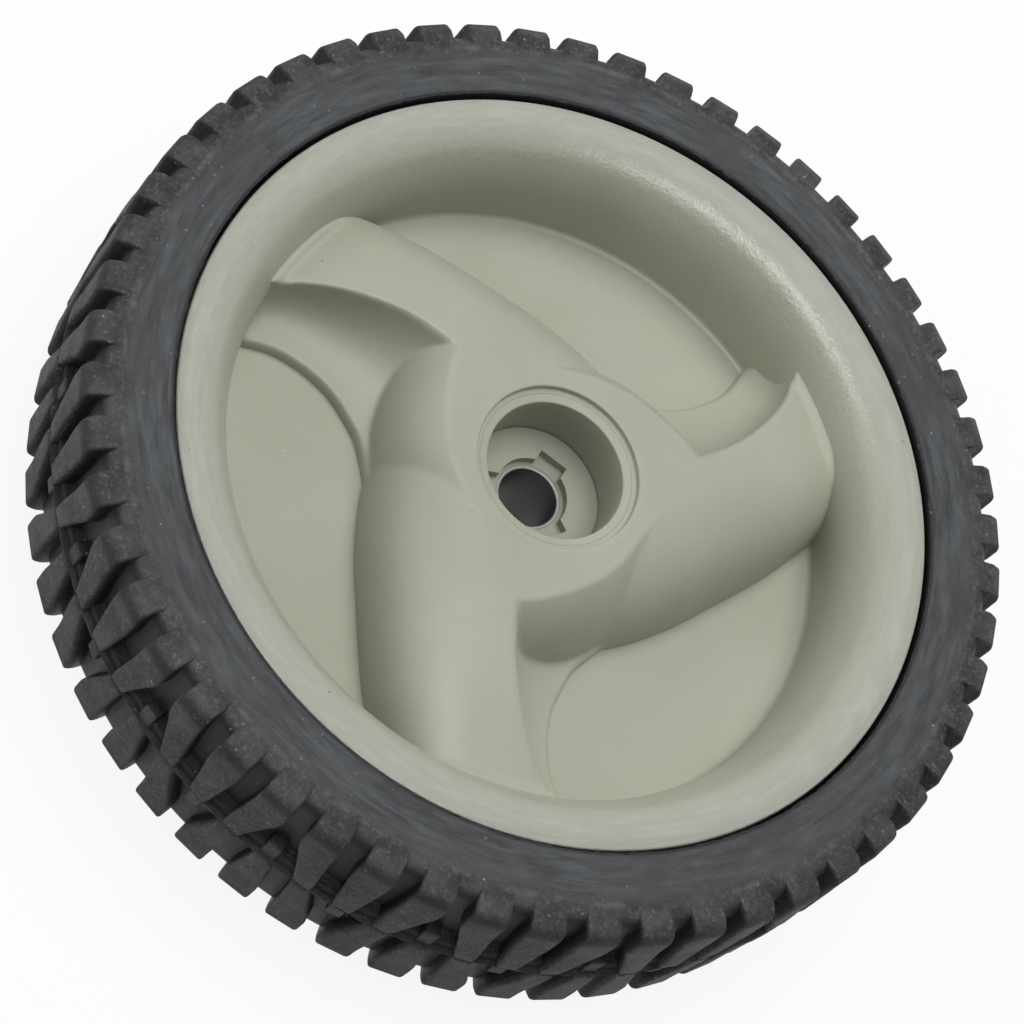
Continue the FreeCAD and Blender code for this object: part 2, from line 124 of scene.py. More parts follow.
class WheelColours(bpy.types.PropertyGroup):
    """Colours of the finishes."""

    hub: shade("Hub", "Moulded plastic where it is darkest", (0.352, 0.372, 0.288))
    hub_pale: shade("Hub, pale", "Moulded plastic where it is palest", (0.385, 0.406, 0.322))
    rim: shade("Rim", "Scuffed rim where it is darkest", (0.362, 0.372, 0.316))
    rim_pale: shade("Rim, pale", "Scuffed rim where it is palest", (0.41, 0.418, 0.372))
    # Painted shade: darkens the wall of the bolt recess, standing in for the shade that falls inside it.
    recess: shade("Recess", "Grime on the wall of the bolt recess", (0.1, 0.105, 0.08))
    hub_speck: shade("Hub speck", "Dark specks in the plastic", (0.07, 0.07, 0.055))
    hub_dust: shade("Hub dust", "Pale specks on the plastic", (0.75, 0.76, 0.7))
    lug: shade("Lug", "Lug tops where they are darkest", (0.019, 0.019, 0.019))
    lug_pale: shade("Lug, pale", "Lug tops where they are palest", (0.063, 0.062, 0.061))
    lug_grain: shade("Lug grain", "Grains of worn rubber", (0.15, 0.149, 0.145))
    # Painted shade: the lug sides, and the rib between the rows, are drawn near-black for the shade between the
    # lugs.
    lug_side_shade: shade("Lug side", "Sides of the lugs", (0.005, 0.005, 0.005))
    groove: shade("Groove", "Floors of the grooves", (0.028, 0.029, 0.03))
    sidewall: shade("Sidewall", "Sidewall where it is darkest", (0.033, 0.035, 0.037))
    sidewall_pale: shade("Sidewall, pale", "Sidewall where it is palest", (0.103, 0.111, 0.117))
    sidewall_blotch: shade("Sidewall blotch", "Dull patches of the sidewall", (0.046, 0.048, 0.051))
    dust_line: shade("Dust line", "Dust where the sidewall meets the lugs", (0.15, 0.15, 0.148))
    # Painted shade: the tyre's inner edge beside the rim's lip is drawn near-black for the shade in the gap.
    bead: shade("Bead", "Inner edge of the sidewall", (0.012, 0.012, 0.013))
    dust: shade("Dust", "Fine dust on the rubber", (0.26, 0.26, 0.25))
    crumb: shade("Crumb", "Pale crumbs on the rubber", (0.42, 0.42, 0.4))
    metal: shade("Metal", "Bush where it is darkest", (0.3, 0.3, 0.29))
    metal_pale: shade("Metal, pale", "Bush where it is palest", (0.5, 0.5, 0.48))
    # Painted shade: the bush's bore is drawn near-black for the shade inside the hole.
    bore: shade("Bore", "Inside of the bush", (0.05, 0.05, 0.047))
    floor: shade("Floor", "Studio floor", (0.86, 0.86, 0.86))


class WheelStageSizes(bpy.types.PropertyGroup):
    """Camera and light."""

    camera: FloatVectorProperty(
        name="Camera", description="Place of the camera", default=(-0.0001, -0.3969, 0.6212), unit="LENGTH"
    )
    forward: FloatVectorProperty(
        name="Forward", description="Way the camera looks", default=(0.0, 0.548, -0.836)
    )
    right: FloatVectorProperty(
        name="Right", description="Way to the picture's right", default=(0.700, 0.598, 0.392)
    )
    lens: FloatProperty(
        name="Lens", description="Focal length on a 36 mm sensor, in millimetres", default=121.3
    )
    key: FloatProperty(name="Key", description="Power of the main light", default=11.6, unit="POWER")
    fill: FloatProperty(name="Fill", description="Power of the side light", default=2.6, unit="POWER")
    strip: FloatProperty(
        name="Strip",
        description="Power of the long lamp that gives the highlights",
        default=14.0,
        unit="POWER",
    )
    sky: FloatProperty(name="Sky", description="Strength of the light from all round", default=0.2)


def calm():
    """Object mode with nothing selected."""
    if bpy.context.object and bpy.context.object.mode != "OBJECT":
        bpy.ops.object.mode_set(mode="OBJECT")
    bpy.ops.object.select_all(action="DESELECT")


def pick(*objects):
    calm()
    for item in objects:
        item.select_set(True)
    bpy.context.view_layer.objects.active = objects[0]


def edit_all(item):
    """Edit mode with the whole mesh selected."""
    pick(item)
    bpy.ops.object.mode_set(mode="EDIT")
    bpy.ops.mesh.select_all(action="SELECT")


def start_mesh(name, primitive=bpy.ops.mesh.primitive_plane_add):
    """A new object in edit mode, holding a square of one millimetre or another primitive of that size."""
    calm()
    primitive(size=MM)
    item = bpy.context.object
    item.name = name
    item.data.name = name
    bpy.ops.object.mode_set(mode="EDIT")
    bpy.ops.mesh.select_all(action="SELECT")
    return item


def arc(centre, radii, start, end, count):
    """Points of an upright ellipse arc from start to end degrees, in radius and height."""
    points = []
    for step in range(count + 1):
        angle = math.radians(start + (end - start) * step / count)
        points.append((centre[0] + radii[0] * math.cos(angle), centre[1] + radii[1] * math.sin(angle)))
    return points


def turn_profile(name, profile, steps):
    """A closed outline of radius and height, spun about the axle."""
    item = start_mesh(name)
    bpy.ops.mesh.merge(type="CENTER")
    first = Vector((profile[0][0], 0, profile[0][1]))
    bpy.ops.transform.translate(value=first)
    last = first
    for radius, height in profile[1:] + profile[:1]:
        spot = Vector((radius, 0, height))
        bpy.ops.mesh.extrude_vertices_move(TRANSFORM_OT_translate={"value": spot - last})
        last = spot
    bpy.ops.mesh.select_all(action="SELECT")
    bpy.ops.mesh.spin(steps=steps, angle=math.tau, center=(0, 0, 0), axis=(0, 0, 1))
    tidy_mesh()
    return item


def tidy_mesh():
    """Closes seams and turns the faces outwards, then leaves edit mode."""
    bpy.ops.mesh.select_all(action="SELECT")
    bpy.ops.mesh.remove_doubles(threshold=WELD)
    bpy.ops.mesh.normals_make_consistent(inside=False)
    bpy.ops.object.mode_set(mode="OBJECT")


def turn_mesh(item, angle):
    """Turns a mesh about the axle."""
    item.data.transform(Matrix.Rotation(angle, 4, "Z"))


def delete_faces(item, unwanted):
    """Takes away the faces that a test picks out."""
    pick(item)
    bpy.ops.object.mode_set(mode="EDIT")
    bpy.ops.mesh.select_all(action="DESELECT")
    bpy.ops.mesh.select_mode(type="FACE")
    bpy.ops.object.mode_set(mode="OBJECT")
    for face in item.data.polygons:
        face.select = unwanted(face)
    bpy.ops.object.mode_set(mode="EDIT")
    bpy.ops.mesh.delete(type="FACE")
    bpy.ops.mesh.select_mode(type="VERT")
    bpy.ops.object.mode_set(mode="OBJECT")


def skin_rings(name, rings):
    """A closed skin through rings of points, all with the same number of points."""
    count = len(rings[0])
    points = [spot for ring in rings for spot in ring]
    faces = [tuple(range(count)), tuple(range(len(points) - 1, len(points) - count - 1, -1))]
    for row in range(len(rings) - 1):
        for column in range(count):
            along = (column + 1) % count
            low = row * count
            high = low + count
            faces.append((low + column, high + column, high + along, low + along))
    mesh = bpy.data.meshes.new(name)
    mesh.from_pydata(points, [], faces)
    item = bpy.data.objects.new(name, mesh)
    bpy.context.collection.objects.link(item)
    pick(item)
    bpy.ops.object.mode_set(mode="EDIT")
    tidy_mesh()
    return item


def apply_modifier(item, kind, **settings):
    pick(item)
    modifier = item.modifiers.new(kind.title(), kind)
    for key, setting in settings.items():
        setattr(modifier, key, setting)
    bpy.ops.object.modifier_apply(modifier=modifier.name)


def join(name, items):
    pick(*items)
    bpy.ops.object.join()
    items[0].name = name
    items[0].data.name = name
    return items[0]


def finish_piece(item, material, node, angle):
    """Smooths a piece up to an angle in degrees, gives it its material and ties it to the frame."""
    pick(item)
    bpy.ops.object.shade_smooth_by_angle(angle=math.radians(angle))
    item.data.materials.clear()
    item.data.materials.append(material)
    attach(item, "root")
    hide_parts(node)
    calm()


def drop(item):
    bpy.data.meshes.remove(item.data)


# Materials


def new_group(name, inputs, outputs):
    tree = bpy.data.node_groups.new(name, "ShaderNodeTree")
    for label, kind, default in inputs:
        socket = tree.interface.new_socket(label, in_out="INPUT", socket_type=kind)
        if default is not None:
            socket.default_value = default
    for label, kind in outputs:
        tree.interface.new_socket(label, in_out="OUTPUT", socket_type=kind)
    return tree, tree.nodes.new("NodeGroupInput"), tree.nodes.new("NodeGroupOutput")


def math_node(tree, operation, first, second=None):
    node = tree.nodes.new("ShaderNodeMath")
    node.operation = operation
    for index, entry in enumerate((first, second)):
        if entry is None:
            continue
        if isinstance(entry, (int, float)):
            node.inputs[index].default_value = entry
        else:
            tree.links.new(entry, node.inputs[index])
    return node.outputs[0]


def ramp_between(tree, value, low, high, out_low=0.0, out_high=1.0):
    node = tree.nodes.new("ShaderNodeMapRange")
    node.interpolation_type = "SMOOTHSTEP"
    tree.links.new(value, node.inputs["Value"])
    node.inputs["From Min"].default_value = low
    node.inputs["From Max"].default_value = high
    node.inputs["To Min"].default_value = out_low
    node.inputs["To Max"].default_value = out_high
    return node.outputs["Result"]


def noise_node(tree, vector, scale, detail=3.0, roughness=0.55):
    node = tree.nodes.new("ShaderNodeTexNoise")
    node.inputs["Scale"].default_value = scale
    node.inputs["Detail"].default_value = detail
    node.inputs["Roughness"].default_value = roughness
    tree.links.new(vector, node.inputs["Vector"])
    return node.outputs["Fac"]


def mix_colour(tree, factor, first, second):
    node = tree.nodes.new("ShaderNodeMix")
    node.data_type = "RGBA"
    for label, entry in (("Factor", factor), ("A", first), ("B", second)):
        socket = node.inputs[label]
        if isinstance(entry, (int, float)):
            socket.default_value = entry
        elif isinstance(entry, Color):
            socket.default_value = (*entry, 1.0)
        else:
            tree.links.new(entry, socket)
    return node.outputs["Result"]


def lay_over(tree, colour, mask, share, second):
    """Lays a second colour over a first one where a mask is, at a share of the mask's strength."""
    return mix_colour(tree, math_node(tree, "MULTIPLY", mask, share), colour, second)


def polar_group():
    """Radius and height of a point, and a texture place that is drawn out round the axle."""
    tree, start, end = new_group(
        "Wheel polar",
        [("Place", "NodeSocketVector", None)],
        [
            ("Radius", "NodeSocketFloat"),
            ("Height", "NodeSocketFloat"),
            ("Smear", "NodeSocketVector"),
        ],
    )
    split = tree.nodes.new("ShaderNodeSeparateXYZ")
    tree.links.new(start.outputs["Place"], split.inputs[0])
    across = math_node(tree, "MULTIPLY", split.outputs["X"], split.outputs["X"])
    along = math_node(tree, "MULTIPLY", split.outputs["Y"], split.outputs["Y"])
    radius = math_node(tree, "SQRT", math_node(tree, "ADD", across, along))
    angle = math_node(tree, "ARCTAN2", split.outputs["Y"], split.outputs["X"])
    turn = math_node(tree, "MULTIPLY", angle, SMEAR_TURN)
    smear = tree.nodes.new("ShaderNodeCombineXYZ")
    tree.links.new(radius, smear.inputs["X"])
    tree.links.new(turn, smear.inputs["Y"])
    tree.links.new(split.outputs["Z"], smear.inputs["Z"])
    tree.links.new(radius, end.inputs["Radius"])
    tree.links.new(split.outputs["Z"], end.inputs["Height"])
    tree.links.new(smear.outputs[0], end.inputs["Smear"])
    return tree


def speck_group():
    """A mask of scattered specks: one in some of the cells of a given size."""
    tree, start, end = new_group(
        "Wheel specks",
        [
            ("Place", "NodeSocketVector", None),
            ("Scale", "NodeSocketFloat", 200.0),
            ("Reach", "NodeSocketFloat", 0.06),
            ("Share", "NodeSocketFloat", 0.2),
        ],
        [("Mask", "NodeSocketFloat")],
    )
    cells = tree.nodes.new("ShaderNodeTexVoronoi")
    tree.links.new(start.outputs["Place"], cells.inputs["Vector"])
    tree.links.new(start.outputs["Scale"], cells.inputs["Scale"])
    near = math_node(tree, "LESS_THAN", cells.outputs["Distance"], start.outputs["Reach"])
    split = tree.nodes.new("ShaderNodeSeparateColor")
    tree.links.new(cells.outputs["Color"], split.inputs[0])
    chosen = math_node(tree, "LESS_THAN", split.outputs["Red"], start.outputs["Share"])
    tree.links.new(math_node(tree, "MULTIPLY", near, chosen), end.inputs["Mask"])
    return tree


def shared_group(name, maker):
    return bpy.data.node_groups.get(name) or maker()


def use_group(tree, group, place, **settings):
    node = tree.nodes.new("ShaderNodeGroup")
    node.node_tree = group
    tree.links.new(place, node.inputs["Place"])
    for key, setting in settings.items():
        node.inputs[key].default_value = setting
    return node


def new_material(name):
    material = bpy.data.materials.new(name)
    material.use_nodes = True
    tree = material.node_tree
    shader = next(node for node in tree.nodes if node.type == "BSDF_PRINCIPLED")
    place = tree.nodes.new("ShaderNodeTexCoord").outputs["Object"]
    return material, tree, shader, place


def bump(tree, height, distance, strength, below=None):
    node = tree.nodes.new("ShaderNodeBump")
    node.inputs["Strength"].default_value = strength
    node.inputs["Distance"].default_value = distance
    tree.links.new(height, node.inputs["Height"])
    if below is not None:
        tree.links.new(below, node.inputs["Normal"])
    return node.outputs["Normal"]


def hub_material():
    """Sage grey-green plastic: satin, finely grained, with a leathery, glossier rim, a few specks and painted
    shade on the recess wall.
    """
    # Bands in metres: radii for the rim and for the painted shade on the recess wall, then heights in the
    # recess where that shade fades.
    leather_band = (0.069, 0.0735)
    gloss_band = (0.0695, 0.0735)
    rim_band = (0.0715, 0.0785)
    recess_wall = (0.0146, 0.0154)
    off_floor = (0.026, 0.0285)
    off_top = (0.034, 0.0385)
    material, tree, shader, place = new_material("Hub plastic")
    shades = bpy.context.scene.wheel_colours
    polar = use_group(tree, shared_group("Wheel polar", polar_group), place)
    radius = polar.outputs["Radius"]
    cloudy = ramp_between(tree, noise_node(tree, place, 28.0, 4.0), 0.3, 0.7)
    colour = mix_colour(tree, cloudy, shades.hub, shades.hub_pale)
    streaks = ramp_between(tree, noise_node(tree, polar.outputs["Smear"], 900.0, 5.0), 0.35, 0.75)
    rim = ramp_between(tree, radius, *rim_band)
    colour = mix_colour(tree, rim, colour, mix_colour(tree, streaks, shades.rim, shades.rim_pale))
    height = polar.outputs["Height"]
    # Painted shade on the bolt recess wall, weaker near its floor and gone towards its top.
    recess_shade = ramp_between(tree, radius, *recess_wall, 0.6, 0.0)
    recess_shade = math_node(tree, "MULTIPLY", recess_shade, ramp_between(tree, height, *off_floor, 0.35, 1.0))
    recess_shade = math_node(tree, "MULTIPLY", recess_shade, ramp_between(tree, height, *off_top, 1.0, 0.0))
    colour = mix_colour(tree, recess_shade, colour, shades.recess)
    specks = shared_group("Wheel specks", speck_group)
    dark = use_group(tree, specks, place, Scale=170.0, Reach=0.045, Share=0.14)
    pale = use_group(tree, specks, place, Scale=240.0, Reach=0.04, Share=0.05)
    colour = lay_over(tree, colour, dark.outputs["Mask"], 0.6, shades.hub_speck)
    colour = lay_over(tree, colour, pale.outputs["Mask"], 0.6, shades.hub_dust)
    tree.links.new(colour, shader.inputs["Base Color"])
    fine = noise_node(tree, place, 2300.0, 2.0)
    fine = math_node(tree, "MULTIPLY", fine, ramp_between(tree, radius, *leather_band, 1.0, 2.2))
    leather = noise_node(tree, place, 560.0, 4.0, 0.6)
    leather = math_node(tree, "MULTIPLY", leather, ramp_between(tree, radius, *leather_band, 0.25, 1.0))
    normal = bump(tree, fine, 0.00012, 0.32)
    normal = bump(tree, leather, 0.0006, 0.3, normal)
    tree.links.new(normal, shader.inputs["Normal"])
    tree.links.new(ramp_between(tree, radius, *gloss_band, 0.48, 0.28), shader.inputs["Roughness"])
    shader.inputs["Specular IOR Level"].default_value = 0.45
    return material


def rubber_material():
    """Charcoal rubber: bluish smeared sidewall, grained lug tops, pale dust, and painted shade on the lug
    sides, round the shoulders and at the inner edge.
    """
    # Radii of the bands in metres, from the bead out to the lug tops.
    bead_shade_band = (0.0839, 0.0847)
    wall_end = (0.0915, 0.0955)
    line_start = (0.0931, 0.0942)
    line_end = (0.0943, 0.0954)
    side_band = (0.0982, 0.0989)
    gloss_band = (0.0985, 0.1008)
    top_band = (0.1003, 0.1013)
    # Distances from the middle of the tyre's width at which the look turns into the face's, and at which the
    # painted shade round the shoulders starts and ends.
    middle = bpy.context.scene.wheel_tyre.width / 2
    face_band = (middle - 0.0022, middle - 0.0006)
    shoulder_shade_start = (middle - 0.0052, middle - 0.0028)
    shoulder_shade_end = (middle - 0.0022, middle - 0.0007)
    material, tree, shader, place = new_material("Tyre rubber")
    shades = bpy.context.scene.wheel_colours
    polar = use_group(tree, shared_group("Wheel polar", polar_group), place)
    radius = polar.outputs["Radius"]
    height = polar.outputs["Height"]
    grain = noise_node(tree, place, 1300.0, 5.0, 0.7)
    cloudy = ramp_between(tree, noise_node(tree, place, 150.0, 6.0, 0.7), 0.32, 0.72)
    worn = mix_colour(tree, cloudy, shades.lug, shades.lug_pale)
    worn = mix_colour(tree, ramp_between(tree, grain, 0.5, 0.72, 0.0, 0.7), worn, shades.lug_grain)
    # Groove floors, then lug sides painted near-black as shade between the lugs; the rib falls mostly in this
    # painted shade too.
    side = mix_colour(tree, ramp_between(tree, radius, *side_band), shades.groove, shades.lug_side_shade)
    colour = mix_colour(tree, ramp_between(tree, radius, *top_band), side, worn)
    from_middle = math_node(tree, "ABSOLUTE", math_node(tree, "SUBTRACT", height, middle))
    face = ramp_between(tree, from_middle, *face_band)
    colour = mix_colour(tree, face, colour, worn)
    # Painted shade: a dark band round the shoulders, 0.7 to 5.2 mm in from each face.
    shoulder_shade = math_node(
        tree,
        "MULTIPLY",
        ramp_between(tree, from_middle, *shoulder_shade_start),
        ramp_between(tree, from_middle, *shoulder_shade_end, 1.0, 0.0),
    )
    colour = lay_over(tree, colour, shoulder_shade, 0.6, shades.lug_side_shade)
    smear = ramp_between(tree, noise_node(tree, polar.outputs["Smear"], 700.0, 6.0, 0.68), 0.28, 0.74)
    blotch = ramp_between(tree, noise_node(tree, place, 42.0, 5.0, 0.65), 0.34, 0.66)
    wall = mix_colour(tree, smear, shades.sidewall, shades.sidewall_pale)
    wall = lay_over(tree, wall, blotch, 0.7, shades.sidewall_blotch)
    on_wall = math_node(tree, "MULTIPLY", face, ramp_between(tree, radius, *wall_end, 1.0, 0.0))
    colour = mix_colour(tree, on_wall, colour, wall)
    line = math_node(
        tree,
        "MULTIPLY",
        ramp_between(tree, radius, *line_start),
        ramp_between(tree, radius, *line_end, 1.0, 0.0),
    )
    patchy = ramp_between(tree, noise_node(tree, place, 210.0, 5.0, 0.7), 0.42, 0.7, 0.0, 0.55)
    colour = lay_over(tree, colour, line, patchy, shades.dust_line)
    # Painted shade at the tyre's inner edge, in the gap beside the rim's lip.
    inner = ramp_between(tree, radius, *bead_shade_band, 1.0, 0.0)
    colour = lay_over(tree, colour, inner, 0.8, shades.bead)
    specks = shared_group("Wheel specks", speck_group)
    dust = use_group(tree, specks, place, Scale=420.0, Reach=0.12, Share=0.2)
    crumbs = use_group(tree, specks, place, Scale=240.0, Reach=0.06, Share=0.2)
    colour = lay_over(tree, colour, dust.outputs["Mask"], 0.4, shades.dust)
    colour = lay_over(tree, colour, crumbs.outputs["Mask"], 0.6, shades.crumb)
    tree.links.new(colour, shader.inputs["Base Color"])
    lumps = noise_node(tree, place, 240.0, 3.0)
    normal = bump(tree, grain, 0.0004, 0.6)
    normal = bump(tree, lumps, 0.0007, 0.35, normal)
    tree.links.new(normal, shader.inputs["Normal"])
    tree.links.new(ramp_between(tree, radius, *gloss_band, 0.46, 0.66), shader.inputs["Roughness"])
    shader.inputs["Specular IOR Level"].default_value = 0.22
    return material


def metal_material():
    """Plain turned steel, with painted shade inside the bore."""
    bore_shade_edge = (0.00652, 0.00662)
    material, tree, shader, place = new_material("Bush metal")
    shades = bpy.context.scene.wheel_colours
    polar = use_group(tree, shared_group("Wheel polar", polar_group), place)
    outside = ramp_between(tree, polar.outputs["Radius"], *bore_shade_edge)
    streaks = noise_node(tree, polar.outputs["Smear"], 2600.0, 3.0)
    bright = mix_colour(tree, streaks, shades.metal, shades.metal_pale)
    # Painted shade: the bore's wall inside the bush is drawn near-black.
    colour = mix_colour(tree, outside, shades.bore, bright)
    tree.links.new(colour, shader.inputs["Base Color"])
    shader.inputs["Metallic"].default_value = 0.35
    shader.inputs["Roughness"].default_value = 0.5
    tree.links.new(bump(tree, streaks, 0.0001, 0.2), shader.inputs["Normal"])
    return material


def shared_material(name, maker):
    return bpy.data.materials.get(name) or maker()


# Tyre


def tyre_profile(sizes):
    """Carcass outline: sidewalls, rounded shoulders, groove floors, middle rib and bead."""
    width = sizes.width
    middle = width / 2
    shoulder = sizes.groove - sizes.groove_start
    half_rib = sizes.rib_width / 2
    opening = sizes.opening
    edge = 0.35 * MM
    # The bead lies behind the rim's lip: its radius, and the depths where its slopes start and end.
    bead = 79.8 * MM
    bead_depth = 9.0 * MM
    back_depth = 6.0 * MM
    front_depth = 7.0 * MM
    outline = [(opening, width - edge), (opening + edge, width)]
    outline += arc((sizes.groove_start, width - shoulder), (shoulder, shoulder), 90, 0, 7)
    outline += [
        (sizes.groove, middle + half_rib + edge),
        (sizes.rib - edge, middle + half_rib),
        (sizes.rib, middle + half_rib - edge),
        (sizes.rib, middle - half_rib + edge),
        (sizes.rib - edge, middle - half_rib),
        (sizes.groove, middle - half_rib - edge),
    ]
    outline += arc((sizes.groove_start, shoulder), (shoulder, shoulder), 0, -90, 7)
    outline += [(opening + edge, 0.0), (opening, edge), (opening, back_depth), (bead, bead_depth)]
    outline += [(bead, width - bead_depth), (opening, width - front_depth)]
    return outline


def lug(name, sizes, row, side, angle):
    """One lug, drawn out from the sidewall over the shoulder to the middle, then turned into place."""
    item = start_mesh(name)
    way = -1.0 if row == "front" else 1.0
    face = sizes.width if row == "front" else 0.0
    buried = 0.1 * MM
    face_drop = 2.7 * MM
    face_wide = 0.97
    edge_round = 1.15 * MM
    sharp = math.radians(50)
    root = sizes.groove_start - buried
    deep = sizes.shoulder - face_drop - root
    bpy.ops.transform.resize(value=(deep / MM, sizes.lug_width * face_wide / MM, 1))
    bpy.ops.transform.translate(value=(root + deep / 2, 0, face))
    lean = -sizes.lug_lean * side
    tip = sizes.lug_tip / sizes.lug_width
    # Each stretch: depth from the face in millimetres, top radius, share of the width and of the lean.
    stretches = (
        (1.2, sizes.shoulder - 0.7 * MM, 0.99, 0.0),
        (3.1, sizes.shoulder, 1.0, 0.0),
        (7.6, sizes.shoulder + 0.1 * MM, 1.0, 0.02),
        (9.6, sizes.shoulder + 0.15 * MM, 0.97, 0.11),
        (11.6, sizes.shoulder + 0.2 * MM, 0.9, 0.27),
        (14.0, sizes.crown - 0.2 * MM, 0.81, 0.47),
        (17.0, sizes.crown - 0.1 * MM, 0.72, 0.69),
        (20.0, sizes.crown, 0.64, 0.89),
        (22.2, sizes.crown - 0.1 * MM, tip, 1.0),
    )
    depth, top, wide, bent = 0.0, root + deep, face_wide, 0.0
    for next_depth, next_top, next_wide, next_bent in stretches:
        step = (next_depth - depth) * MM * way
        shift = lean * (next_bent - bent)
        bpy.ops.mesh.extrude_region_move(TRANSFORM_OT_translate={"value": (0, shift, step)})
        stretch = (next_top - root) / (top - root)
        pivot = (root, lean * next_bent, face + next_depth * MM * way)
        bpy.ops.transform.resize(value=(stretch, next_wide / wide, 1), center_override=pivot)
        depth, top, wide, bent = next_depth, next_top, next_wide, next_bent
    bpy.ops.mesh.select_all(action="SELECT")
    bpy.ops.mesh.normals_make_consistent(inside=False)
    bpy.ops.mesh.select_all(action="DESELECT")
    bpy.ops.mesh.edges_select_sharp(sharpness=sharp)
    bpy.ops.mesh.bevel(offset=edge_round, segments=3, affect="EDGES", clamp_overlap=True)
    turn_copies(sizes, angle)
    return item


def turn_copies(sizes, angle):
    """Turns the mesh in hand to its angle and repeats it round the tyre."""
    bpy.ops.object.mode_set(mode="OBJECT")
    turn_mesh(bpy.context.object, angle)
    bpy.ops.object.mode_set(mode="EDIT")
    bpy.ops.mesh.select_all(action="SELECT")
    rest = sizes.groups - 1
    bpy.ops.mesh.spin(
        steps=rest, dupli=True, angle=math.tau * rest / sizes.groups, center=(0, 0, 0), axis=(0, 0, 1)
    )
    bpy.ops.mesh.select_all(action="SELECT")
    bpy.ops.mesh.normals_make_consistent(inside=False)
    bpy.ops.object.mode_set(mode="OBJECT")


def nub(name, sizes, row, angle):
    """The small block beside the rib, between two groups of lugs."""
    item = start_mesh(name, bpy.ops.mesh.primitive_cube_add)
    way = 1.0 if row == "front" else -1.0
    low = sizes.groove - 1.0 * MM
    high = sizes.rib + 0.6 * MM
    # Millimetres round the tyre and along the axle, then the distance from the tyre's middle.
    around, along = 3.4, 5.5
    off_middle = 2.9
    edge_round = 0.45 * MM
    bpy.ops.transform.resize(value=((high - low) / MM, around, along))
    bpy.ops.transform.translate(value=((low + high) / 2, 0, sizes.width / 2 + way * off_middle * MM))
    bpy.ops.mesh.bevel(offset=edge_round, segments=2, affect="EDGES", clamp_overlap=True)
    turn_copies(sizes, angle)
    return item


class WHEEL_OT_tyre_body(bpy.types.Operator):
    """Build the tyre's carcass, its moulding seam and the ragged edge of its opening"""

    bl_idname = "wheel.tyre_body"
    bl_label = "Tyre body"

    def execute(self, context):
        sizes = context.scene.wheel_tyre
        body = turn_profile("tyre_body", tyre_profile(sizes), 288)
        middle = sizes.width / 2
        root, tip = sizes.rib - 0.4 * MM, sizes.crown - 0.25 * MM
        half_root, half_tip = 0.2 * MM, 0.09 * MM
        seam_outline = [
            (root, middle + half_root),
            (tip, middle + half_tip),
            (tip, middle - half_tip),
            (root, middle - half_root),
        ]
        seam = turn_profile("tyre_seam", seam_outline, 420)
        inside = sizes.opening + 0.3 * MM
        under = sizes.width - 0.4 * MM
        flash_outline = [
            (inside, sizes.width - 0.1 * MM),
            (sizes.opening - 0.12 * MM, sizes.width - 0.16 * MM),
            (sizes.opening - 0.1 * MM, under),
            (inside, under),
        ]
        flash = turn_profile("tyre_flash", flash_outline, 520)
        for item, amount, seed in ((seam, 0.18 * MM, 3), (flash, 0.24 * MM, 8)):
            edit_all(item)
            bpy.ops.transform.vertex_random(offset=amount, seed=seed)
            bpy.ops.object.mode_set(mode="OBJECT")
        body = join("tyre_body", [body, seam, flash])
        finish_piece(body, shared_material("Tyre rubber", rubber_material), "tyre", 35.0)
        return {"FINISHED"}


class WHEEL_OT_tyre_tread(bpy.types.Operator):
    """Build both rows of lugs and the small blocks between their groups"""

    bl_idname = "wheel.tyre_tread"
    bl_label = "Tyre tread"

    def execute(self, context):
        sizes = context.scene.wheel_tyre
        group = math.tau / sizes.groups
        items = []
        for row, start in (("front", sizes.phase), ("back", sizes.phase + group / 2)):
            for side in (-1, 0, 1):
                name = "%s_lug_%d" % (row, side)
                items.append(lug(name, sizes, row, side, start + group / 3 * side))
            items.append(nub(row + "_nub", sizes, row, start + group / 2))
        tread = join("tyre_tread", items)
        finish_piece(tread, shared_material("Tyre rubber", rubber_material), "tyre", 45.0)
        return {"FINISHED"}


# Hub


def roll_points(sizes):
    """The rim from its lip over the broad crown, round the roll and down to the dish's upright wall."""
    # Slope in degrees at which the roll gives way to the flare.
    steep = 57.0
    roll, soft = sizes.roll, sizes.lip_round
    lip_turn = math.degrees(math.asin((sizes.lip - soft - sizes.crown) / roll))
    over = arc((sizes.crown, sizes.crown_height - roll), (roll, roll), 90 - lip_turn, 90 + steep, 20)
    corner = over[0]
    points = arc((corner[0], corner[1] - soft), (soft, soft), 0, 80, 4) + over
    flare = (points[-1][0] - sizes.dish) / (1.0 - math.sin(math.radians(steep)))
    points += arc_on(points[-1], flare, steep, 90.0, 12)
    return points


def arc_on(start, radius, slope, end_slope, count):
    """Points of an arc that goes on from a point with one downward slope to another, towards the axle."""
    low = math.radians(slope)
    centre = (start[0] + radius * math.sin(low), start[1] - radius * math.cos(low))
    return arc(centre, (radius, radius), 90 + slope, 90 + end_slope, count)[1:]


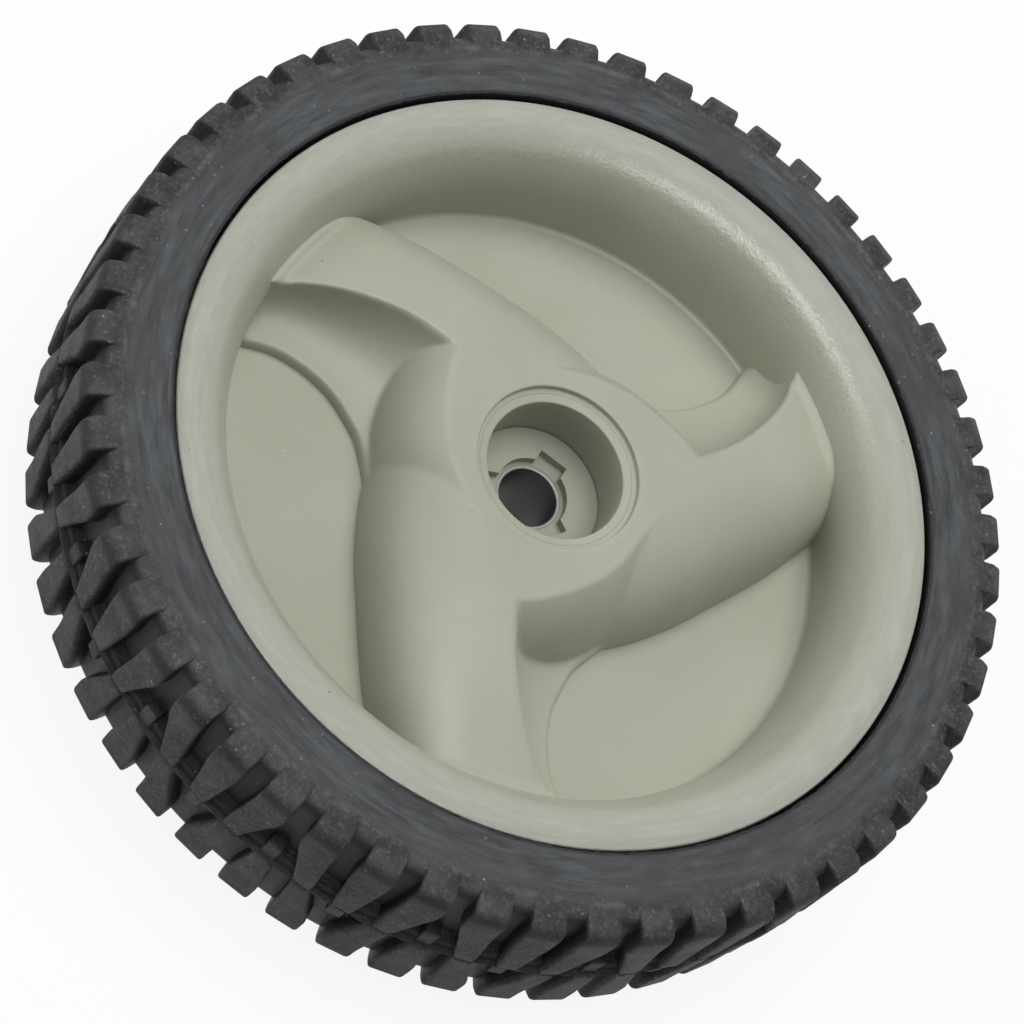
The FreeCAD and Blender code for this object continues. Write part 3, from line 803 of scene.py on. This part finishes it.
class WHEEL_OT_hub_rim(bpy.types.Operator):
    """Build the rolled rim and the floor of the dish"""

    bl_idname = "wheel.hub_rim"
    bl_label = "Hub rim"

    def execute(self, context):
        sizes = context.scene.wheel_hub
        fillet = 1.6 * MM
        inner = 19.5 * MM
        underside = 17.0 * MM
        lip_end = 38.5 * MM
        outline = [(sizes.lip, lip_end)] + roll_points(sizes)
        outline += arc((sizes.dish - fillet, sizes.panel + fillet), (fillet, fillet), 0, -90, 6)
        # The floor's inner edge, then the hidden side of the dish wall back up to the lip.
        outline += [
            (inner, sizes.panel),
            (inner, underside),
            (66.5 * MM, underside),
            (70.6 * MM, 24.0 * MM),
            (71.6 * MM, 35.0 * MM),
            (77.5 * MM, lip_end),
        ]
        rim = turn_profile("hub_rim", outline, 288)
        for turn in range(SPOKES):
            cutter = self.spoke_opening(turn)
            apply_modifier(rim, "BOOLEAN", operation="DIFFERENCE", object=cutter, solver="EXACT")
            drop(cutter)
        finish_piece(rim, shared_material("Hub plastic", hub_material), "wheel_hub", 40.0)
        return {"FINISHED"}

    @staticmethod
    def spoke_opening(turn):
        """A block that opens the dish floor behind a spoke's hollow."""
        first, last = SPOKE[0][0], 54.0
        steps = 26
        inset = 2.4 * MM
        low, high = 10 * MM, 22 * MM
        rings = []
        for step in range(steps + 1):
            reach = first + (last - first) * step / steps
            foot, crest, _ = spoke_at(reach)
            corners = ((foot - inset, low), (foot - inset, high), (crest - inset, high), (crest - inset, low))
            rings.append([(-reach * MM, across, height) for across, height in corners])
        cutter = skin_rings("opening_%d" % turn, rings)
        turn_mesh(cutter, math.tau * turn / SPOKES)
        return cutter


# Spoke outline in millimetres: distance along the spoke, then foot of the flank, crest and end of the ledge.
SPOKE = (
    (-22.0, 30.0, 9.0, -6.0),
    (0.0, 33.4, 5.5, -18.0),
    (12.0, 34.0, 4.2, -24.0),
    (24.0, 32.6, 3.4, -24.6),
    (28.0, 31.7, 3.2, -21.8),
    (33.0, 30.4, 2.8, -18.2),
    (38.0, 29.1, 2.0, -16.4),
    (43.0, 27.8, 0.9, -15.2),
    (48.0, 26.4, -0.9, -15.1),
    (53.0, 24.8, -3.2, -15.9),
    (58.0, 22.9, -6.0, -17.6),
    (63.0, 20.9, -9.6, -21.0),
    (66.0, 19.6, -12.9, -23.5),
    (71.5, 17.0, -19.5, -28.0),
)
# Edge of the plateau between two spokes: angle in degrees from a spoke's own side, then radius in millimetres.
PLATEAU_EDGE = (
    (-83.0, 22.3),
    (-62.0, 24.0),
    (-48.0, 30.5),
    (-36.0, 32.0),
    (-18.6, 28.2),
    (-5.0, 26.0),
    (14.0, 23.8),
    (28.0, 22.5),
    (37.0, 22.3),
)


def through(rows, at, column):
    """Value of one column on a smooth curve through rows that start with their place."""
    last_row = len(rows) - 1
    index = max(i for i in range(last_row) if rows[i][0] <= at or i == 0)
    span = rows[index + 1][0] - rows[index][0]
    part = (at - rows[index][0]) / span

    def slope(spot):
        before = rows[max(spot - 1, 0)]
        after = rows[min(spot + 1, last_row)]
        return (after[column] - before[column]) / (after[0] - before[0]) * span

    square = part * part
    cube = square * part
    return (
        (2 * cube - 3 * square + 1) * rows[index][column]
        + (cube - 2 * square + part) * slope(index)
        + (3 * square - 2 * cube) * rows[index + 1][column]
        + (cube - square) * slope(index + 1)
    )


def spoke_at(reach):
    """Foot, crest and ledge at a distance along the spoke."""
    return [through(SPOKE, reach, column) * MM for column in (1, 2, 3)]


def dome_height(sizes, radius):
    """Height of the spokes' tops at a radius, with the small round that joins them to the rim."""
    run = max(radius - sizes.dome_start, 0.0)
    fall = sizes.dome - math.sqrt(sizes.dome ** 2 - run ** 2)
    return sizes.plateau - fall + rim_round(sizes, radius)


def rim_round(sizes, radius):
    """How far the inside corner at the dish wall lifts a surface that runs into it."""
    corner = sizes.corner
    into = min(max(radius - (sizes.dish - corner), 0.0), corner)
    return corner - math.sqrt(corner ** 2 - into ** 2)


def curve_between(first, middle, last, count):
    """Points of a soft corner, without its two ends."""
    points = []
    for step in range(1, count):
        part = step / count
        points.append(
            tuple(
                (1 - part) ** 2 * a + 2 * part * (1 - part) * b + part ** 2 * c
                for a, b, c in zip(first, middle, last)
            )
        )
    return points


def spoke_ring(sizes, reach):
    """Closed cross-section of a spoke: round flank, top, soft crest, scoop, ledge and underside."""
    foot, crest, ledge = spoke_at(reach)
    along = reach * MM
    panel = sizes.panel
    base = panel - SINK
    toe = panel + 0.6 * MM
    flank_steps, top_steps, scoop_steps, soft_steps = 24, 16, 20, 6

    def top_at(across):
        return dome_height(sizes, math.hypot(along, across))

    # The flank is a quarter round that ends level with the top, so its radius is found in a few rounds.
    rise = top_at(0.0) - panel
    for _ in range(3):
        rise = top_at(foot - rise) - panel
    points = [(foot, base)]
    for step in range(flank_steps + 1):
        angle = math.radians(90.0 * step / flank_steps)
        points.append((foot - rise + rise * math.cos(angle), panel + rise * math.sin(angle)))
    tangent = foot - rise
    start = crest + sizes.crest_round
    for step in range(1, top_steps + 1):
        across = tangent + (start - tangent) * step / top_steps
        points.append((across, top_at(across)))
    high = top_at(crest)
    low = panel + sizes.ledge
    flat = ledge + sizes.ledge_round
    scoop = []
    for step in range(scoop_steps + 1):
        part = step / scoop_steps
        bow = 4 * part * (1 - part)
        across = crest + (flat - crest) * part + sizes.scoop_in * bow
        height = high + (low - high) * part - sizes.scoop_down * bow
        scoop.append((across, height + rim_round(sizes, math.hypot(along, across))))
    points += curve_between(points[-1], (crest, high), scoop[2], soft_steps)
    points += scoop[2:]
    points += curve_between(scoop[-1], (ledge, low), (ledge, toe), soft_steps)
    points += [(ledge, toe), (ledge, base)]
    return [(-along, across, height) for across, height in points]


def plateau_drum(sizes):
    """The middle of the hub: a flat top whose edge spirals from one crest to the next flank."""
    rings = []
    levels, columns = 22, 240
    base = sizes.panel - SINK
    share = 360.0 / SPOKES
    own_side = 90.0
    first = PLATEAU_EDGE[0][0]
    for level in range(levels + 1):
        height = base + (sizes.plateau - base) * level / levels
        climb = max(height - sizes.panel, 0.0)
        flare = sizes.drum_flare - (sizes.drum_curve - math.sqrt(sizes.drum_curve ** 2 - climb ** 2))
        ring = []
        for step in range(columns):
            turn = 360.0 * step / columns
            own = (turn - own_side - first) % share + first
            radius = through(PLATEAU_EDGE, own, 1) * MM + flare
            angle = math.radians(turn)
            ring.append((radius * math.cos(angle), radius * math.sin(angle), height))
        rings.append(ring)
    return skin_rings("drum", rings)


class WHEEL_OT_hub_spokes(bpy.types.Operator):
    """Build the three swirl spokes as one moulded skin with softened edges"""

    bl_idname = "wheel.hub_spokes"
    bl_label = "Hub spokes"

    def execute(self, context):
        sizes = context.scene.wheel_hub
        first, last = SPOKE[0][0], SPOKE[-1][0]
        rows = 180
        # The skin is kept between these radii and heights, and open where it faces down.
        inner, outer = 18.6 * MM, 70.2 * MM
        low, high = 10 * MM, 60 * MM
        facing_down = -0.7
        fewest_faces = 1000
        rings = [spoke_ring(sizes, first + (last - first) * row / rows) for row in range(rows + 1)]
        arms = [plateau_drum(sizes)]
        for turn in range(SPOKES):
            arm = skin_rings("spoke_%d" % turn, rings)
            turn_mesh(arm, math.tau * turn / SPOKES)
            arms.append(arm)
        spokes = join("hub_spokes", arms)
        apply_modifier(spokes, "REMESH", mode="VOXEL", voxel_size=sizes.voxel)
        apply_modifier(spokes, "SMOOTH", factor=0.5, iterations=4)
        sleeve = turn_profile("sleeve", [(inner, low), (outer, low), (outer, high), (inner, high)], 128)
        apply_modifier(spokes, "BOOLEAN", operation="INTERSECT", object=sleeve, solver="EXACT")
        drop(sleeve)
        delete_faces(spokes, lambda face: face.normal.z < facing_down)
        if len(spokes.data.polygons) < fewest_faces:
            raise RuntimeError("the spokes came out empty")
        finish_piece(spokes, shared_material("Hub plastic", hub_material), "wheel_hub", 60.0)
        return {"FINISHED"}


class WHEEL_OT_hub_cup(bpy.types.Operator):
    """Build the bolt recess with its counterbore, step and three notches"""

    bl_idname = "wheel.hub_cup"
    bl_label = "Hub cup"

    def execute(self, context):
        sizes = context.scene.wheel_hub
        shelf = sizes.plateau - sizes.counterbore_depth
        soft = 0.45 * MM
        lift = 0.015 * MM
        top = sizes.plateau + lift
        edge = shelf - 0.6 * MM
        floor = sizes.recess_floor
        ditch = floor - 0.35 * MM
        hole = sizes.bush + 0.05 * MM
        outside = 20.4 * MM
        # A flat ring over the inner edge of the spokes' skin, down to the counterbore's shelf.
        outline = [(19.8 * MM, sizes.plateau - 1.0 * MM), (19.7 * MM, top)]
        outline += arc((sizes.counterbore + soft, top - soft), (soft, soft), 90, 180, 5)
        # The shelf, with a fine line turned into it.
        outline += [
            (sizes.counterbore, shelf),
            (sizes.counterbore - 0.25 * MM, shelf - 0.12 * MM),
            (17.05 * MM, shelf - 0.25 * MM),
            (16.95 * MM, shelf - 0.38 * MM),
            (16.85 * MM, shelf - 0.3 * MM),
        ]
        outline += arc((sizes.recess + soft, edge - soft), (soft, soft), 90, 180, 5)
        # The wall's narrow ditch, the floor, the step down to the bush and the hidden outside.
        outline += [
            (sizes.recess, ditch),
            (sizes.recess - 0.3 * MM, ditch),
            (sizes.recess - 0.35 * MM, floor + 0.08 * MM),
            (sizes.recess - 0.55 * MM, floor),
            (sizes.step, floor),
            (sizes.step, sizes.bush_top),
            (hole, sizes.bush_top),
            (hole, 21.0 * MM),
            (outside, 22.6 * MM),
            (outside, 36.0 * MM),
        ]
        cup = turn_profile("hub_cup", outline, 160)
        # Sizes of a notch in millimetres, and the place of its middle before it is turned.
        notch_size = (3.7, 6.5, 4.0)
        notch_place = (8.25 * MM, 0, sizes.bush_top + 2.0 * MM)
        for turn in (100.0, 220.0, 340.0):
            notch = start_mesh("notch", bpy.ops.mesh.primitive_cube_add)
            bpy.ops.transform.resize(value=notch_size)
            bpy.ops.transform.translate(value=notch_place)
            bpy.ops.object.mode_set(mode="OBJECT")
            turn_mesh(notch, math.radians(turn))
            apply_modifier(cup, "BOOLEAN", operation="DIFFERENCE", object=notch, solver="EXACT")
            drop(notch)
        self.soften_step(cup, sizes)
        finish_piece(cup, shared_material("Hub plastic", hub_material), "wheel_hub", 35.0)
        return {"FINISHED"}

    @staticmethod
    def soften_step(cup, sizes):
        """Rounds the top edge of the step and its notches."""
        facing_up = 0.9
        near = 0.01 * MM
        step_reach = 11.0 * MM
        edge_round = 0.5 * MM
        pick(cup)
        bpy.ops.object.mode_set(mode="EDIT")
        bpy.ops.mesh.select_all(action="DESELECT")
        bpy.ops.mesh.select_mode(type="EDGE")
        bpy.ops.object.mode_set(mode="OBJECT")
        mesh = cup.data
        # For each edge, whether each of its faces is flat: an edge to round has one that is and one that isn't.
        sides = {}
        for face in mesh.polygons:
            flat = face.normal.z > facing_up
            for key in face.edge_keys:
                sides.setdefault(key, []).append(flat)
        for edge in mesh.edges:
            spots = [mesh.vertices[index].co for index in edge.vertices]
            level = all(abs(spot.z - sizes.recess_floor) < near for spot in spots)
            inner = all(math.hypot(spot.x, spot.y) < step_reach for spot in spots)
            edge.select = level and inner and sorted(sides.get(edge.key, [])) == [False, True]
        bpy.ops.object.mode_set(mode="EDIT")
        bpy.ops.mesh.bevel(offset=edge_round, segments=3, affect="EDGES", clamp_overlap=True)
        bpy.ops.mesh.select_mode(type="VERT")
        bpy.ops.object.mode_set(mode="OBJECT")


class WHEEL_OT_hub_back(bpy.types.Operator):
    """Take the back of the hub from the CAD frame: ring gear, boss, gussets and rim slot"""

    bl_idname = "wheel.hub_back"
    bl_label = "Hub back"

    def execute(self, context):
        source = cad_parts["wheel_hub"]
        back = source.copy()
        back.data = source.data.copy()
        back.name = "hub_back"
        back.parent = None
        back.matrix_world = Matrix.Identity(4)
        back.hide_render = False
        back.hide_viewport = False
        for key in [key for key in back.keys() if key.startswith("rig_")]:
            del back[key]
        context.collection.objects.link(back)
        edit_all(back)
        bpy.ops.mesh.remove_doubles(threshold=WELD)
        bpy.ops.object.mode_set(mode="OBJECT")
        mesh = back.data
        solid = BVHTree.FromPolygons(
            [vertex.co for vertex in mesh.vertices], [tuple(face.vertices) for face in mesh.polygons]
        )
        delete_faces(back, lambda face: not self.is_back(face, solid))
        finish_piece(back, shared_material("Hub plastic", hub_material), "wheel_hub", 30.0)
        return {"FINISHED"}

    @staticmethod
    def is_back(face, solid):
        """Whether a face lies below the dish floor, or where the hub itself hides it from the front."""
        floor = 18.8 * MM
        off_face = 0.1
        above = solid.ray_cast(face.center + face.normal * off_face * MM, Vector((0, 0, 1)))[0]
        return face.center.z < floor or above is not None


class WHEEL_OT_bush(bpy.types.Operator):
    """Build the metal axle bush"""

    bl_idname = "wheel.bush"
    bl_label = "Axle bush"

    def execute(self, context):
        sizes = context.scene.wheel_hub
        bevel = 0.3 * MM
        outer_bevel = 0.1 * MM
        back = 3.0 * MM
        outline = [
            (sizes.bore, back + bevel),
            (sizes.bore + bevel, back),
            (sizes.bush, back),
            (sizes.bush, sizes.bush_top - outer_bevel),
            (sizes.bush - outer_bevel, sizes.bush_top),
            (sizes.bore + bevel, sizes.bush_top),
            (sizes.bore, sizes.bush_top - bevel),
        ]
        bush = turn_profile("bush_sleeve", outline, 96)
        finish_piece(bush, shared_material("Bush metal", metal_material), "axle_bush", 30.0)
        return {"FINISHED"}


# Stage


def area_light(name, place, target, size, power, gives=("diffuse", "glossy")):
    """An oval lamp that looks at a point and gives one kind of light or both."""
    light = bpy.data.lights.new(name, "AREA")
    light.shape = "ELLIPSE"
    light.size, light.size_y = size
    light.energy = power
    lamp = bpy.data.objects.new(name, light)
    bpy.context.collection.objects.link(lamp)
    lamp.location = place
    lamp.rotation_mode = "QUATERNION"
    lamp.rotation_quaternion = (Vector(target) - Vector(place)).to_track_quat("-Z", "Y")
    lamp.visible_diffuse = "diffuse" in gives
    lamp.visible_glossy = "glossy" in gives


def seen_white(tree, shader_output, target, kind, share):
    """Shows plain white, by a share, to the camera and in reflections, and the given shader to the rest."""
    path = tree.nodes.new("ShaderNodeLightPath")
    seen = math_node(tree, "MAXIMUM", path.outputs["Is Camera Ray"], path.outputs["Is Glossy Ray"])
    seen = math_node(tree, "MAXIMUM", seen, path.outputs["Is Transmission Ray"])
    seen = math_node(tree, "MULTIPLY", seen, share)
    white = tree.nodes.new(kind)
    white.inputs["Color"].default_value = (1, 1, 1, 1)
    white.inputs["Strength"].default_value = 1.0
    mix = tree.nodes.new("ShaderNodeMixShader")
    tree.links.new(seen, mix.inputs[0])
    tree.links.new(shader_output, mix.inputs[1])
    tree.links.new(white.outputs[0], mix.inputs[2])
    tree.links.new(mix.outputs[0], target.inputs["Surface"])


class WHEEL_OT_stage(bpy.types.Operator):
    """Set the pale floor, soft light and the camera of the photo"""

    bl_idname = "wheel.stage"
    bl_label = "Stage"

    def execute(self, context):
        settings = context.scene.wheel_stage
        scene = context.scene
        floor_size, floor_gap = 6.0, 0.0004
        # Share of plain white that the floor shows; the rest keeps the shadow.
        floor_white = 0.9
        calm()
        bpy.ops.mesh.primitive_plane_add(size=floor_size, location=(0, 0, -floor_gap))
        floor = context.object
        floor.name = "floor"
        material = bpy.data.materials.new("Floor")
        material.use_nodes = True
        tree = material.node_tree
        shader = next(node for node in tree.nodes if node.type == "BSDF_PRINCIPLED")
        shader.inputs["Base Color"].default_value = (*scene.wheel_colours.floor, 1)
        shader.inputs["Roughness"].default_value = 0.9
        output = next(node for node in tree.nodes if node.type == "OUTPUT_MATERIAL")
        seen_white(tree, shader.outputs[0], output, "ShaderNodeEmission", floor_white)
        floor.data.materials.append(material)

        world = bpy.data.worlds.new("Studio")
        scene.world = world
        world.use_nodes = True
        tree = world.node_tree
        sky = next(node for node in tree.nodes if node.type == "BACKGROUND")
        sky.inputs["Color"].default_value = (1, 1, 1, 1)
        sky.inputs["Strength"].default_value = settings.sky
        output = next(node for node in tree.nodes if node.type == "OUTPUT_WORLD")
        seen_white(tree, sky.outputs[0], output, "ShaderNodeBackground", 1.0)

        middle = (0, 0, 0.03)
        rim_top = (0, 0.075, 0.043)
        strip_place, strip_size = (0.0, -0.53, 0.96), (1.6, 0.12)
        area_light("key", (-0.05, 0.3, 1.15), middle, (0.95, 0.95), settings.key, gives=("diffuse",))
        area_light("fill", (-0.75, -0.45, 0.3), middle, (0.7, 0.7), settings.fill)
        area_light("strip", strip_place, rim_top, strip_size, settings.strip, gives=("glossy",))

        data = bpy.data.cameras.new("camera")
        data.lens = settings.lens
        data.sensor_width = 36.0
        camera = bpy.data.objects.new("camera", data)
        context.collection.objects.link(camera)
        back = -Vector(settings.forward).normalized()
        right = Vector(settings.right)
        right = (right - back * right.dot(back)).normalized()
        up = back.cross(right)
        turn = Matrix((right, up, back)).transposed().to_4x4()
        camera.matrix_world = Matrix.Translation(settings.camera) @ turn
        scene.camera = camera
        scene.view_settings.view_transform = "Standard"
        return {"FINISHED"}


class WHEEL_PT_panel(bpy.types.Panel):
    """Sizes and build steps of the wheel"""

    bl_idname = "WHEEL_PT_panel"
    bl_label = "Lawn mower wheel"
    bl_space_type = "VIEW_3D"
    bl_region_type = "UI"
    bl_category = "Wheel"

    def draw(self, context):
        layout = self.layout
        for owner in (getattr(context.scene, key) for key in GROUPS):
            for key in owner.bl_rna.properties.keys():
                if key not in {"rna_type", "name"}:
                    layout.prop(owner, key)
        for operator in STEPS:
            layout.operator(operator.bl_idname)


STEPS = (
    WHEEL_OT_tyre_body,
    WHEEL_OT_tyre_tread,
    WHEEL_OT_hub_rim,
    WHEEL_OT_hub_spokes,
    WHEEL_OT_hub_cup,
    WHEEL_OT_hub_back,
    WHEEL_OT_bush,
    WHEEL_OT_stage,
)
GROUPS = {
    "wheel_tyre": WheelTyreSizes,
    "wheel_hub": WheelHubSizes,
    "wheel_colours": WheelColours,
    "wheel_stage": WheelStageSizes,
}


def register():
    for kind in (*GROUPS.values(), *STEPS, WHEEL_PT_panel):
        bpy.utils.register_class(kind)
    for key, kind in GROUPS.items():
        setattr(bpy.types.Scene, key, PointerProperty(type=kind))


def unregister():
    for key in GROUPS:
        delattr(bpy.types.Scene, key)
    for kind in (WHEEL_PT_panel, *reversed(STEPS), *reversed(GROUPS.values())):
        bpy.utils.unregister_class(kind)


def main():
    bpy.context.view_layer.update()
    register()
    for operator in STEPS:
        group, step = operator.bl_idname.split(".")
        getattr(getattr(bpy.ops, group), step)()


if __name__ == "__main__":
    main()
